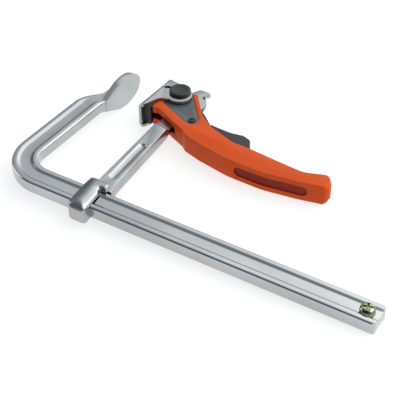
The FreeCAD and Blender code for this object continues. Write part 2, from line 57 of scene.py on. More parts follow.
# Places read from the frame, in metres.
bar_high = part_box("rail_bar")[1]
shoe_low, shoe_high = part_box("shoe")
insert_low, insert_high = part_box("pressure_insert")
lever_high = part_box("lever_handle")[1]
cap_low, cap_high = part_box("pivot_cap_upper")
screw_low, screw_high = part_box("stop_screw")
rivet_low, rivet_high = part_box("plate_rivet")
plate_low, plate_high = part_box("side_plate_upper")
pin_low, pin_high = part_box("pivot_pin")
pawl_pin_low, pawl_pin_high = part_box("pawl_pin")
trigger_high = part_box("trigger")[1]

PIVOT = (Vector(pin_low) + Vector(pin_high)) / 2
PAWL_PIVOT = (Vector(pawl_pin_low) + Vector(pawl_pin_high)) / 2
RIVET = (Vector(rivet_low) + Vector(rivet_high)) / 2
SCREW = (Vector(screw_low) + Vector(screw_high)) / 2
BAR_CENTRE_Y = SCREW.y

# Where the middle of the arm's eye is along the bar.
EYE_X = 0.057

# Radii of the holes for the pivot pin and for the rivet.
PIN_HOLE = 0.00305
RIVET_HOLE = 0.0024

# Two places closer than this count as one.
TOUCH = 0.00001

# How far a cutter reaches past the face that it cuts, and from the middle plane right through a piece.
PAST = 0.001
THROUGH = 0.02


class BarSizes(bpy.types.PropertyGroup):
    width: FloatProperty(
        name="Width", description="Width of the bar's grooved faces", default=0.0195, unit="LENGTH")
    thickness: FloatProperty(
        name="Thickness", description="Thickness of the bar", default=0.0095, unit="LENGTH")
    edge_round: FloatProperty(
        name="Edge round", description="Radius along the bar's four edges", default=0.0016, unit="LENGTH")
    groove_width: FloatProperty(
        name="Groove width", description="Width of the groove at the face", default=0.0116, unit="LENGTH")
    groove_depth: FloatProperty(
        name="Groove depth", description="Depth of the groove", default=0.0011, unit="LENGTH")
    bend_radius: FloatProperty(
        name="Bend radius", description="Radius of the bend at the bar's middle", default=0.0275,
        unit="LENGTH")
    pad_length: FloatProperty(
        name="Pad length", description="Long axis of the oval pad", default=0.0398, unit="LENGTH")
    pad_height: FloatProperty(
        name="Pad height", description="Short axis of the oval pad", default=0.0252, unit="LENGTH")
    pad_thickness: FloatProperty(
        name="Pad thickness", description="Thickness of the oval pad", default=0.0048, unit="LENGTH")


class ArmSizes(bpy.types.PropertyGroup):
    shank_thickness: FloatProperty(
        name="Shank thickness", description="Thickness of the arm between eye and head", default=0.009,
        unit="LENGTH")
    plate_thickness: FloatProperty(
        name="Plate thickness", description="Thickness of the arm's thin end", default=0.0045,
        unit="LENGTH")
    quadrant_thickness: FloatProperty(
        name="Quadrant thickness", description="Thickness of the toothed quadrant and the hook",
        default=0.0032, unit="LENGTH")
    trough_width: FloatProperty(
        name="Trough width", description="Width of the long recess", default=0.0068, unit="LENGTH")
    trough_depth: FloatProperty(
        name="Trough depth", description="Depth of the long recess", default=0.0017, unit="LENGTH")
    lean: FloatProperty(
        name="Lean", description="Angle between the eye and the bar", default=math.radians(4.5),
        subtype="ANGLE")
    tooth_radius: FloatProperty(
        name="Tooth radius", description="Radius of the tooth tips", default=0.0202, unit="LENGTH")
    tooth_depth: FloatProperty(
        name="Tooth depth", description="Depth of a tooth", default=0.0007, unit="LENGTH")
    tooth_count: IntProperty(
        name="Teeth", description="Number of ratchet teeth", default=14, min=1)


class LeverSizes(bpy.types.PropertyGroup):
    grip_round: FloatProperty(
        name="Grip round", description="Radius of the grip's near edges", default=0.0024, unit="LENGTH")
    edge_round: FloatProperty(
        name="Edge round", description="Radius of the other long edges", default=0.0012, unit="LENGTH")
    window_depth: FloatProperty(
        name="Finger recess depth", description="Depth of the long recess in the grip", default=0.001,
        unit="LENGTH")
    window_height: FloatProperty(
        name="Finger recess height", description="Height of the long recess", default=0.0078,
        unit="LENGTH")


class HeadSizes(bpy.types.PropertyGroup):
    sheet: FloatProperty(
        name="Sheet", description="Thickness of the shoe's sheet steel", default=0.0022, unit="LENGTH")
    sheet_bend: FloatProperty(
        name="Sheet bend", description="Outer radius of the shoe's bends", default=0.0032, unit="LENGTH")
    slot_width: FloatProperty(
        name="Slot width", description="Width of the slots in the shoe's ears", default=0.0062,
        unit="LENGTH")
    cap_chamfer: FloatProperty(
        name="Cap chamfer", description="Chamfer round the black caps", default=0.0008, unit="LENGTH")


class Finishes(bpy.types.PropertyGroup):
    zinc: FloatVectorProperty(
        name="Zinc", description="Colour of the bright zinc plating", subtype="COLOR",
        default=(0.465, 0.477, 0.487), min=0, max=1)
    orange: FloatVectorProperty(
        name="Orange", description="Colour of the painted lever", subtype="COLOR",
        default=(0.65, 0.082, 0.012), min=0, max=1)
    # The recess colour is painted shade: darker red for the finger recess and the faces inside the gap
    # and slot.
    recess: FloatVectorProperty(
        name="Recess", description="Colour of the shaded finger recess", subtype="COLOR",
        default=(0.27, 0.026, 0.012), min=0, max=1)
    plate: FloatVectorProperty(
        name="Plate grey", description="Colour of the side plates", subtype="COLOR",
        default=(0.112, 0.123, 0.125), min=0, max=1)
    black: FloatVectorProperty(
        name="Black", description="Colour of the black moulded pieces", subtype="COLOR",
        default=(0.013, 0.0145, 0.016), min=0, max=1)


class StageSettings(bpy.types.PropertyGroup):
    azimuth: FloatProperty(
        name="Azimuth", description="Camera's turn about the vertical", default=math.radians(32.28),
        subtype="ANGLE")
    elevation: FloatProperty(
        name="Elevation", description="Camera's height angle", default=math.radians(38.5),
        subtype="ANGLE")
    roll: FloatProperty(
        name="Roll", description="Camera's turn about its own axis", default=math.radians(-0.15),
        subtype="ANGLE")
    distance: FloatProperty(
        name="Distance", description="From the camera to the point that it looks at", default=0.8097,
        unit="LENGTH")
    lens: FloatProperty(
        name="Lens", description="Focal length in millimetres on a 36 mm sensor", default=102.4)
    floor: FloatVectorProperty(
        name="Floor", description="Colour of the pale floor", subtype="COLOR",
        default=(0.30, 0.30, 0.30), min=0, max=1)


SETTINGS = {
    "clamp_bar": BarSizes,
    "clamp_arm": ArmSizes,
    "clamp_lever": LeverSizes,
    "clamp_head": HeadSizes,
    "clamp_finishes": Finishes,
    "clamp_stage": StageSettings,
}


# Drawing and cutting


def deselect():
    bpy.ops.object.select_all(action="DESELECT")


def select_only(piece):
    deselect()
    piece.select_set(True)
    bpy.context.view_layer.objects.active = piece


def rounded(corners, steps=6):
    """Points along a closed outline whose corners are (x, y, radius), all in metres."""
    points = []
    for i, (x, y, radius) in enumerate(corners):
        corner = Vector((x, y))
        before = (Vector(corners[i - 1][:2]) - corner).normalized()
        after = (Vector(corners[(i + 1) % len(corners)][:2]) - corner).normalized()
        if radius <= 0:
            points.append(corner)
            continue
        half = before.angle(after) / 2
        centre = corner + (before + after).normalized() * (radius / math.sin(half))
        start = corner + before * (radius / math.tan(half)) - centre
        turn = start.angle_signed(corner + after * (radius / math.tan(half)) - centre)
        for step in range(steps + 1):
            points.append(centre + Matrix.Rotation(-turn * step / steps, 2) @ start)
    return points


def in_mm(corners, centre=(0, 0)):
    """Corners given in millimetres from a centre given in metres."""
    return [(centre[0] + x * MM, centre[1] + y * MM, r * MM) for x, y, r in corners]


def polar(radius, degrees):
    """The x and y of a point at a radius and an angle from X."""
    turn = math.radians(degrees)
    return radius * math.cos(turn), radius * math.sin(turn)


def start_face(name, points, place):
    """A flat face through the points, left in edit mode. place gives a point's spot in space."""
    deselect()
    bpy.ops.mesh.primitive_circle_add(vertices=len(points), radius=1, fill_type="NGON")
    piece = bpy.context.object
    piece.name = name
    bpy.ops.object.mode_set(mode="EDIT")
    mesh = bmesh.from_edit_mesh(piece.data)
    for vertex, point in zip(mesh.verts, points):
        vertex.co = place(*point)
    bmesh.update_edit_mesh(piece.data)
    return piece


def extrude(offset):
    bpy.ops.mesh.extrude_region_move(TRANSFORM_OT_translate={"value": offset})


def end_edit(piece):
    bpy.ops.mesh.select_all(action="SELECT")
    bpy.ops.mesh.normals_make_consistent(inside=False)
    bpy.ops.object.mode_set(mode="OBJECT")
    return piece


def slab(name, points, low, high):
    """A flat piece seen from above, from one height to another."""
    piece = start_face(name, points, lambda x, y: Vector((x, y, low)))
    extrude((0, 0, high - low))
    return end_edit(piece)


def side_slab(name, points, near, far):
    """A flat piece seen along Y, from one place to another."""
    piece = start_face(name, points, lambda x, z: Vector((x, near, z)))
    extrude((0, far - near, 0))
    return end_edit(piece)


def end_slab(name, points, left, right):
    """A flat piece seen along X, from one place to another."""
    piece = start_face(name, points, lambda y, z: Vector((left, y, z)))
    extrude((right - left, 0, 0))
    return end_edit(piece)


def round_bar(name, x, y, radius, low, high, sides=48):
    """An upright cylinder, from one height to another."""
    points = [Vector((x, y)) + Vector(polar(radius, 360 * i / sides)) for i in range(sides)]
    return slab(name, points, low, high)


def stadium(x0, y0, x1, y1, radius, steps=10):
    """Points of a slot from one end circle to the other."""
    heading = math.degrees(math.atan2(y1 - y0, x1 - x0))
    points = []
    for x, y, first in ((x1, y1, heading - 90), (x0, y0, heading + 90)):
        for step in range(steps + 1):
            points.append(Vector((x, y)) + Vector(polar(radius, first + 180 * step / steps)))
    return points


def apply_modifier(piece, kind, **values):
    select_only(piece)
    bpy.ops.object.modifier_add(type=kind)
    modifier = piece.modifiers[-1]
    for key, value in values.items():
        setattr(modifier, key, value)
    bpy.ops.object.modifier_apply(modifier=modifier.name)


def combine(piece, tool, operation):
    apply_modifier(piece, "BOOLEAN", operation=operation, solver="EXACT", object=tool)
    bpy.data.objects.remove(tool)


def cut(piece, *tools):
    for tool in tools:
        combine(piece, tool, "DIFFERENCE")


def soften(piece, width, segments=3, angle=32):
    """Rounds the edges that turn by more than the angle, in degrees."""
    apply_modifier(piece, "BEVEL", width=width, segments=segments, limit_method="ANGLE",
                   angle_limit=math.radians(angle), miter_outer="MITER_ARC", use_clamp_overlap=True)


def bevel_edges(piece, chosen, width, segments=4):
    """Rounds the edges for which chosen(start, end) holds."""
    select_only(piece)
    bpy.ops.object.mode_set(mode="EDIT")
    bpy.ops.mesh.select_mode(type="EDGE")
    bpy.ops.mesh.select_all(action="DESELECT")
    mesh = bmesh.from_edit_mesh(piece.data)
    for edge in mesh.edges:
        edge.select_set(chosen(edge.verts[0].co, edge.verts[1].co))
    bmesh.update_edit_mesh(piece.data)
    bpy.ops.mesh.bevel(offset=width, segments=segments, profile=0.5, affect="EDGES", clamp_overlap=True)
    bpy.ops.mesh.select_mode(type="VERT")
    bpy.ops.object.mode_set(mode="OBJECT")


def above(level):
    """Chooses the edges that lie at a height or above it."""
    return lambda a, b: min(a.z, b.z) > level - TOUCH


def other_side(piece, name):
    """A copy mirrored through the clamp's middle plane."""
    select_only(piece)
    bpy.ops.object.duplicate()
    copy = bpy.context.object
    copy.name = name
    bpy.ops.object.mode_set(mode="EDIT")
    bpy.ops.mesh.select_all(action="SELECT")
    mesh = bmesh.from_edit_mesh(copy.data)
    for vertex in mesh.verts:
        vertex.co.z = -vertex.co.z
    bmesh.update_edit_mesh(copy.data)
    return end_edit(copy)


def paint_slots(piece, *materials):
    for material in materials:
        piece.data.materials.append(material)


def hand_over(piece, body, slot, material, *nodes, angle=30):
    """Shades and paints a finished piece, and puts it in its nodes' place on their body."""
    select_only(piece)
    bpy.ops.object.shade_smooth_by_angle(angle=math.radians(angle))
    if not piece.data.materials:
        piece.data.materials.append(material)
    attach(piece, body)
    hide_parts(*nodes)
    return piece


# Finishes


def new_material(name):
    """A material and its new node tree, or no tree where the material was made before."""
    material = bpy.data.materials.get(name)
    if material:
        return material, None
    material = bpy.data.materials.new(name)
    material.use_nodes = True
    return material, material.node_tree


def add_node(tree, kind, values=None, **settings):
    node = tree.nodes.new(kind)
    for key, value in settings.items():
        setattr(node, key, value)
    for key, value in (values or {}).items():
        node.inputs[key].default_value = value
    return node


def noise(tree, scale, stretch=(1, 1, 1), detail=4.0):
    """Noise over the object's own coordinates, stretched along its axes."""
    place = add_node(tree, "ShaderNodeTexCoord")
    mapping = add_node(tree, "ShaderNodeMapping", {"Scale": stretch})
    texture = add_node(tree, "ShaderNodeTexNoise", {"Scale": scale, "Detail": detail})
    tree.links.new(place.outputs["Object"], mapping.inputs["Vector"])
    tree.links.new(mapping.outputs["Vector"], texture.inputs["Vector"])
    return texture


def spread(tree, texture, low, high, start=0.3, end=0.7):
    """Maps noise to a range of numbers."""
    node = add_node(tree, "ShaderNodeMapRange", {
        "From Min": start, "From Max": end, "To Min": low, "To Max": high})
    tree.links.new(texture.outputs["Fac"], node.inputs["Value"])
    return node


def tint(tree, texture, dark, light, start=0.35, end=0.65):
    """Maps noise to colours between two tones."""
    ramp = add_node(tree, "ShaderNodeValToRGB")
    ramp.color_ramp.elements[0].position = start
    ramp.color_ramp.elements[1].position = end
    ramp.color_ramp.elements[0].color = (*dark, 1)
    ramp.color_ramp.elements[1].color = (*light, 1)
    tree.links.new(texture.outputs["Fac"], ramp.inputs["Fac"])
    return ramp


def bump(tree, texture, strength, depth):
    node = add_node(tree, "ShaderNodeBump", {"Strength": strength, "Distance": depth})
    tree.links.new(texture.outputs["Fac"], node.inputs["Height"])
    tree.links.new(node.outputs["Normal"], tree.nodes["Principled BSDF"].inputs["Normal"])
    return node


def shade(tree, colour, roughness, metallic=0.0, **sockets):
    """Sets the surface. A socket's name has underscores in place of its spaces."""
    shader = tree.nodes["Principled BSDF"]
    shader.inputs["Metallic"].default_value = metallic
    for key, value in sockets.items():
        shader.inputs[key.replace("_", " ")].default_value = value
    tree.links.new(colour.outputs["Color"], shader.inputs["Base Color"])
    tree.links.new(roughness.outputs["Result"], shader.inputs["Roughness"])


def tone(colour, share):
    return [min(1, c * share) for c in colour]


def drawn_zinc():
    """Bright plating over a drawn bar, with faint marks along it."""
    material, tree = new_material("drawn_zinc")
    if tree:
        base = bpy.context.scene.clamp_finishes.zinc
        clouds = noise(tree, scale=28, stretch=(0.5, 1, 1), detail=3)
        marks = noise(tree, scale=160, stretch=(0.06, 1, 1), detail=6)
        colour = tint(tree, clouds, tone(base, 0.88), tone(base, 1.08))
        shade(tree, colour, spread(tree, marks, low=0.1, high=0.2), metallic=1.0)
        bump(tree, marks, strength=0.1, depth=0.0002)
    return material


def forged_zinc():
    """Plating over a forged surface, which is a little uneven."""
    material, tree = new_material("forged_zinc")
    if tree:
        base = bpy.context.scene.clamp_finishes.zinc
        clouds = noise(tree, scale=60, detail=5)
        grain = noise(tree, scale=700, detail=4)
        colour = tint(tree, clouds, tone(base, 0.75), tone(base, 0.94))
        shade(tree, colour, spread(tree, clouds, low=0.2, high=0.34), metallic=1.0)
        bump(tree, grain, strength=0.14, depth=0.00015)
    return material


def sheet_zinc():
    """Plating over rolled sheet."""
    material, tree = new_material("sheet_zinc")
    if tree:
        base = bpy.context.scene.clamp_finishes.zinc
        clouds = noise(tree, scale=90, detail=4)
        rolled = noise(tree, scale=900, stretch=(1, 0.15, 1), detail=3)
        colour = tint(tree, clouds, tone(base, 0.68), tone(base, 0.84))
        shade(tree, colour, spread(tree, rolled, low=0.18, high=0.3), metallic=1.0)
        bump(tree, rolled, strength=0.1, depth=0.0001)
    return material


def screw_zinc():
    """Yellow passivated plating, which shifts between green, gold and rose."""
    material, tree = new_material("screw_zinc")
    if tree:
        patches = noise(tree, scale=260, detail=2)
        green, gold = (0.05, 0.08, 0.045), (0.50, 0.52, 0.34)
        colour = tint(tree, patches, green, gold, start=0.38, end=0.62)
        rose = colour.color_ramp.elements.new(0.72)
        rose.color = (0.72, 0.42, 0.40, 1)
        shade(tree, colour, spread(tree, patches, low=0.16, high=0.3), metallic=1.0)
        bump(tree, patches, strength=0.05, depth=0.0001)
    return material


def lever_paint():
    """Smooth paint with a faint orange-peel surface."""
    material, tree = new_material("lever_paint")
    if tree:
        base = bpy.context.scene.clamp_finishes.orange
        clouds = noise(tree, scale=35, detail=2)
        peel = noise(tree, scale=1100, detail=2)
        colour = tint(tree, clouds, tone(base, 0.96), tone(base, 1.03))
        shade(tree, colour, spread(tree, peel, low=0.4, high=0.48), Specular_IOR_Level=0.1)
        bump(tree, peel, strength=0.12, depth=0.0001)
    return material


def painted_recess_shade():
    """The same paint darkened as painted shade, for the finger recess and the faces inside the gap and
    slot.
    """
    material, tree = new_material("painted_recess_shade")
    if tree:
        base = bpy.context.scene.clamp_finishes.recess
        clouds = noise(tree, scale=60, detail=2)
        peel = noise(tree, scale=1100, detail=2)
        colour = tint(tree, clouds, tone(base, 0.94), tone(base, 1.08))
        shade(tree, colour, spread(tree, peel, low=0.5, high=0.6), Specular_IOR_Level=0.12)
        bump(tree, peel, strength=0.15, depth=0.0001)
    return material


def plate_paint():
    """Satin grey over pressed sheet."""
    material, tree = new_material("plate_paint")
    if tree:
        base = bpy.context.scene.clamp_finishes.plate
        clouds = noise(tree, scale=120, detail=4)
        grain = noise(tree, scale=1500, detail=2)
        colour = tint(tree, clouds, tone(base, 0.9), tone(base, 1.1))
        shade(tree, colour, spread(tree, grain, low=0.38, high=0.5), metallic=0.35)
        bump(tree, grain, strength=0.1, depth=0.0001)
    return material


def black_moulding():
    """Black moulded plastic with a fine spark-eroded grain."""
    material, tree = new_material("black_moulding")
    if tree:
        base = bpy.context.scene.clamp_finishes.black
        clouds = noise(tree, scale=90, detail=3)
        grain = noise(tree, scale=1800, detail=3)
        colour = tint(tree, clouds, tone(base, 0.85), tone(base, 1.25))
        shade(tree, colour, spread(tree, grain, low=0.4, high=0.55))
        bump(tree, grain, strength=0.25, depth=0.0001)
    return material


def blackened_steel():
    """Oil-blackened steel."""
    material, tree = new_material("blackened_steel")
    if tree:
        clouds = noise(tree, scale=150, detail=4)
        grain = noise(tree, scale=1200, detail=3)
        dark, light = (0.012, 0.013, 0.015), (0.028, 0.029, 0.032)
        colour = tint(tree, clouds, dark, light)
        shade(tree, colour, spread(tree, clouds, low=0.3, high=0.42), metallic=0.3)
        bump(tree, grain, strength=0.15, depth=0.0001)
    return material


def spring_wire():
    """Bare spring wire."""
    material, tree = new_material("spring_wire")
    if tree:
        clouds = noise(tree, scale=300, detail=3)
        dark, light = (0.26, 0.26, 0.27), (0.42, 0.42, 0.43)
        colour = tint(tree, clouds, dark, light)
        shade(tree, colour, spread(tree, clouds, low=0.25, high=0.4), metallic=1.0)
        bump(tree, clouds, strength=0.1, depth=0.0001)
    return material


def pale_floor():
    """A matt white ground that glows a little, so that it stays white in the picture."""
    material, tree = new_material("pale_floor")
    if tree:
        base = bpy.context.scene.clamp_stage.floor
        glow = (0.74, 0.74, 0.74, 1)
        clouds = noise(tree, scale=2, detail=2)
        colour = tint(tree, clouds, tone(base, 0.995), base)
        shade(tree, colour, spread(tree, clouds, low=0.8, high=0.85),
              Emission_Color=glow, Emission_Strength=1.0)
    return material


# Pieces


def bar_section(bar):
    """The grooved section as (across, up), centred on the bar."""
    w, t = bar.width / 2, bar.thickness / 2
    lip, floor = bar.groove_width / 2, t - bar.groove_depth
    slope, lip_round, floor_round = 0.002, 0.0009, 0.0024
    top = [(w, t, bar.edge_round), (lip, t, lip_round), (lip - slope, floor, floor_round),
           (slope - lip, floor, floor_round), (-lip, t, lip_round), (-w, t, bar.edge_round)]
    return rounded(top + [(-x, -z, r) for x, z, r in top], 5)


def reshape_ring(piece, old, new):
    """Moves the ring that was just extruded from one station's shape to the next one's.

    A station is (y, left, right, half thickness, share of the groove's depth).
    """
    _, old_left, old_right, old_half, old_share = old
    _, left, right, half, share = new
    groove_start, groove_end = 0.19, 0.81
    mesh = bmesh.from_edit_mesh(piece.data)
    for vertex in mesh.verts:
        if not vertex.select:
            continue
        across = (vertex.co.x - old_left) / (old_right - old_left)
        up = vertex.co.z / old_half
        if groove_start < across < groove_end:
            groove = (1 - abs(up)) * share / old_share
            up = math.copysign(1 - groove, up)
        vertex.co.x = left + across * (right - left)
        vertex.co.z = up * half
    bmesh.update_edit_mesh(piece.data)


class BuildBar(bpy.types.Operator):
    """Build the bent bar with its oval pad"""
    bl_idname = "clamp.build_bar"
    bl_label = "Bar with pad"

    def execute(self, context):
        bar = context.scene.clamp_bar
        end_x = bar_high[0]
        crease_round, end_round = 0.0011, 0.0004
        seat_radius, seat_floor = 0.00515, bar.thickness / 2 - bar.groove_depth
        piece = self.bent_bar(bar, end_x)
        combine(piece, self.pad(bar), "UNION")
        bevel_edges(piece, lambda a, b: self.is_crease(a, b, bar), crease_round, segments=3)
        combine(piece, self.plan(bar, end_x), "INTERSECT")
        cut(piece, round_bar("seat", SCREW.x, SCREW.y, seat_radius, seat_floor, THROUGH))
        bevel_edges(piece, lambda a, b: min(a.x, b.x) > end_x - TOUCH, end_round, segments=2)
        hand_over(piece, "rail", "zinc_bar", drawn_zinc(), "rail_bar", angle=28)
        return {"FINISHED"}

    def bent_bar(self, bar, end_x):
        """The bar from its free end, round the bend and along the arm to the pad."""
        arm_x = -0.0122
        corner = Vector((arm_x + bar.bend_radius, BAR_CENTRE_Y + bar.bend_radius, 0))
        piece = start_face("bent_bar", bar_section(bar), lambda u, z: (
            Vector((end_x, BAR_CENTRE_Y + u, z))))
        extrude((corner.x - end_x, 0, 0))
        bpy.ops.mesh.spin(steps=28, angle=math.radians(90), center=corner, axis=(0, 0, 1))
        stations = self.neck(arm_x, bar.width / 2, bar.thickness / 2)
        last = (corner.y,) + stations[0][1:]
        for station in stations:
            extrude((0, station[0] - last[0], 0))
            reshape_ring(piece, last, station)
            last = station
        return end_edit(piece)

    def neck(self, arm_x, half, t):
        """The stations along the arm, whose groove runs out where it narrows towards the pad.

        Each is (y, left, right, half thickness, share of the groove's depth).
        """
        return [
            (-0.0360, arm_x - half, arm_x + half, t, 1.0),
            (-0.0345, -0.0218, -0.00245, t, 0.8),
            (-0.0325, -0.0212, -0.00245, t, 0.56),
            (-0.0305, -0.0203, -0.00245, t, 0.31),
            (-0.0290, -0.0195, -0.00205, t, 0.13),
            (-0.0275, -0.0187, -0.00125, t, 0.04),
            (-0.0262, -0.0179, -0.00055, t, 0.02),
            (-0.0250, -0.0169, -0.00020, t, 0.02),
            (-0.0235, -0.0156, -0.00030, t, 0.02),
            (-0.0215, -0.0136, -0.00060, t, 0.02),
            (-0.0195, -0.0117, -0.00080, t, 0.02),
            (-0.0178, -0.0103, -0.00080, t, 0.02),
            (-0.0155, -0.0094, -0.00080, t, 0.02),
            (-0.0100, -0.0092, -0.00080, t, 0.02),
            (-0.0040, -0.0091, -0.00080, 0.0044, 0.02),
            (0.0015, -0.0083, -0.00080, 0.0036, 0.02),
            (0.0090, -0.0041, -0.00080, 0.0026, 0.02),
        ]

    def pad(self, bar):
        """The oval pad, whose lower end runs into the arm in two straight flanks."""
        a, b = bar.pad_length / 2, bar.pad_height / 2
        steps, oval_end = 44, 123.5
        points = []
        for step in range(steps + 1):
            turn = math.radians(-oval_end + 2 * oval_end * step / steps)
            points.append(Vector((a * math.cos(turn), b * math.sin(turn))))
        flank = [(-0.011, 0.0105, 0), (-0.0247, 0.00482, 0.006), (-0.0262, 0.0047, 0)]
        foot = rounded(flank + [(y, -z, r) for y, z, r in reversed(flank)], 4)
        points += foot[1:-1]
        pad = end_slab("pad", points, -bar.pad_thickness, 0)
        foot_y, rim_round = -0.0235, 0.0009
        bevel_edges(pad, lambda p, q: abs(p.x - q.x) < TOUCH and max(p.y, q.y) > foot_y,
                    rim_round, segments=3)
        return pad

    def is_crease(self, a, b, bar):
        """Where the arm's end meets the back of the pad."""
        back, foot_y, play = -bar.pad_thickness, -0.026, 0.0002
        on_back = max(abs(a.x - back), abs(b.x - back)) < 3 * TOUCH
        inside = max(abs(a.z), abs(b.z)) < bar.thickness / 2 + play
        return on_back and inside and min(a.y, b.y) > foot_y

    def plan(self, bar, end_x):
        """A cutter that keeps the bar and rounds the two corners of its free end."""
        near, far = BAR_CENTRE_Y - bar.width / 2, BAR_CENTRE_Y + bar.width / 2
        left, arm_right, arm_top, corner_round = -0.08, 0.1, 0.05, 0.003
        outline = rounded([
            (left, near - PAST, 0), (end_x, near, corner_round), (end_x, far, corner_round),
            (arm_right, far + PAST, 0), (arm_right, arm_top, 0), (left, arm_top, 0)])
        return slab("plan", outline, -THROUGH, THROUGH)


class BuildScrew(bpy.types.Operator):
    """Build the stop screw near the bar's end"""
    bl_idname = "clamp.build_screw"
    bl_label = "Stop screw"

    def execute(self, context):
        bar = context.scene.clamp_bar
        radius, top = (screw_high[0] - screw_low[0]) / 2, screw_high[2]
        seat = bar.thickness / 2 - bar.groove_depth
        head = round_bar("pan_head", SCREW.x, SCREW.y, radius, seat, top)
        bevel_edges(head, above(top), (top - seat) * 0.62, segments=6)
        arm_length, arm_half_width, depth = 0.0027, 0.00065, 0.0018
        for turn in (20, 110):
            arm = Vector(polar(arm_length, turn))
            points = stadium(SCREW.x - arm.x, SCREW.y - arm.y, SCREW.x + arm.x, SCREW.y + arm.y,
                             arm_half_width)
            cut(head, slab("cross", points, top - depth, top + PAST))
        soften(head, 0.00015, segments=2, angle=50)
        shank_radius, overlap = 0.0024, 0.0004
        shank = round_bar("shank", SCREW.x, SCREW.y, shank_radius, screw_low[2], seat + overlap, sides=24)
        combine(head, shank, "UNION")
        hand_over(head, "rail", "yellow_zinc", screw_zinc(), "stop_screw")
        return {"FINISHED"}


class BuildArm(bpy.types.Operator):
    """Build the sliding arm with its eye, quadrant and hook"""
    bl_idname = "clamp.build_arm"
    bl_label = "Sliding arm"

    def execute(self, context):
        arm = context.scene.clamp_arm
        half = arm.shank_thickness / 2
        thin = arm.plate_thickness / 2
        shank = slab("leaning_arm", rounded(in_mm([
            (56.0, -117.5, 0), (52.9, -111.0, 3), (47.4, -27.0, 0), (46.8, 4.0, 0), (52.0, 4.0, 0),
            (60.8, -5.0, 3), (59.2, -30.0, 0), (66.2, -104.5, 12), (69.6, -117.5, 0)])), -half, half)
        soften(shank, 0.0007, segments=3, angle=40)
        for side in (1, -1):
            cut(shank, self.trough(arm, side * half, side))
            cut(shank, self.ramp(side, half, thin))
        combine(shank, self.head(arm, thin), "UNION")
        combine(shank, self.eye(), "UNION")
        bore_reach = 0.01
        bore = round_bar("bore", PIVOT.x, PIVOT.y, PIN_HOLE, -bore_reach, bore_reach)
        cut(shank, self.hole(context, arm), bore)
        soften(shank, 0.0006, segments=4, angle=38)
        hand_over(shank, "arm", "zinc_forging", forged_zinc(), "sliding_arm", angle=35)
        return {"FINISHED"}

    def trough(self, arm, level, side):
        """A long shallow cutter with round ends that leaves a scooped recess."""
        w, d = arm.trough_width, arm.trough_depth
        radius = w * w / (8 * d) + d / 2
        height = level + side * (radius - d)
        start, end = Vector((0.0592, -0.1000, height)), Vector((0.0562, -0.0590, height))
        along = end - start
        deselect()
        bpy.ops.mesh.primitive_uv_sphere_add(segments=48, ring_count=24, radius=radius, location=start)
        piece = bpy.context.object
        bpy.ops.object.transform_apply(location=True, rotation=True, scale=True)
        bpy.ops.object.mode_set(mode="EDIT")
        mesh = bmesh.from_edit_mesh(piece.data)
        for vertex in mesh.verts:
            if (vertex.co - start).dot(along) > 0:
                vertex.co += along
        bmesh.update_edit_mesh(piece.data)
        return end_edit(piece)

    def ramp(self, side, half, thin):
        """What comes off above the thin end, from the ramp's upper edge to past the head."""
        edge = Vector((0.048, -0.0315, 0))
        along, ahead = Vector((0.973, -0.230, 0)), Vector((0.230, 0.973, 0))
        before, length = 0.015, 0.07
        brow, foot, past_head, clear = 0.0022, 0.005, 0.08, 0.02
        profile = [(brow, half), (foot, thin), (past_head, thin), (past_head, clear), (brow, clear)]
        piece = start_face("ramp", profile, lambda u, z: (
            edge - along * before + ahead * u + Vector((0, 0, z * side))))
        extrude(along * length)
        return end_edit(piece)

    def head(self, arm, thin):
        """The toothed quadrant, the hook above it and the boss round the pivot."""
        tip = arm.tooth_radius
        root = tip - arm.tooth_depth
        pitch, first, steep_side = 4, -10, 0.85
        boss_radius = 0.0063
        points = [Vector(polar(tip, turn)) for turn in range(-46, first, pitch)]
        for i in range(arm.tooth_count):
            low = first + pitch * i
            points.append(Vector(polar(tip, low)))
            points.append(Vector(polar(root, low + pitch * steep_side)))
        points += rounded(in_mm([
            (12.2, 12.9, 0.2), (11.3, 17.3, 1.2), (15.0, 21.2, 0.7), (11.6, 22.5, 2),
            (4.2, 22.4, 2.5), (1.2, 15.6, 2), (-1.5, 9.0, 3)]), 5)
        points += [Vector(polar(boss_radius, turn)) for turn in range(115, 280, 10)]
        outline = [(PIVOT.x + x, PIVOT.y + y) for x, y in points]
        quadrant = arm.quadrant_thickness / 2
        head = slab("head", outline, -quadrant, quadrant)
        combine(head, round_bar("boss", PIVOT.x, PIVOT.y, boss_radius, -thin, thin), "UNION")
        return head

    def eye(self):
        """The forged loop round the bar: a domed strap above and below, joined near and far."""
        reach, skew = 0.01755, -0.12
        near, far = BAR_CENTRE_Y - reach, BAR_CENTRE_Y + reach
        strap = self.eye_side("strap", near, far)
        dome = in_mm([(49.2, 0, 0), (49.8, 6.0, 4), (58.2, 9.2, 3), (62.8, 9.2, 1.5),
                      (66.6, 6.0, 2.5), (67.0, 0, 0)])
        dome += [(x, -z, r) for x, z, r in reversed(dome[1:-1])]
        skewed = start_face("dome", rounded(dome, 8), lambda x, z: Vector((x, near, z)))
        extrude((skew * (far - near), far - near, 0))
        combine(strap, end_edit(skewed), "INTERSECT")
        combine(strap, self.eye_plan([
            (52.0, -146, 8), (66.2, -146, 7), (66.8, -138, 12), (64.8, -124, 12), (61.2, -118, 3),
            (61.2, -108, 0), (48.4, -108, 3), (48.0, -119, 12), (49.8, -134, 14)]), "INTERSECT")
        collar = self.eye_side("collar", near, far)
        combine(collar, self.eye_plan([
            (54.0, -118.5, 0), (66.8, -118.5, 0), (66.6, -112.5, 2), (61.0, -108.5, 3),
            (54.0, -108.5, 0)]), "INTERSECT")
        combine(strap, collar, "UNION")
        apply_modifier(strap, "REMESH", mode="VOXEL", voxel_size=0.0005)
        apply_modifier(strap, "SMOOTH", factor=0.5, iterations=70)
        return strap

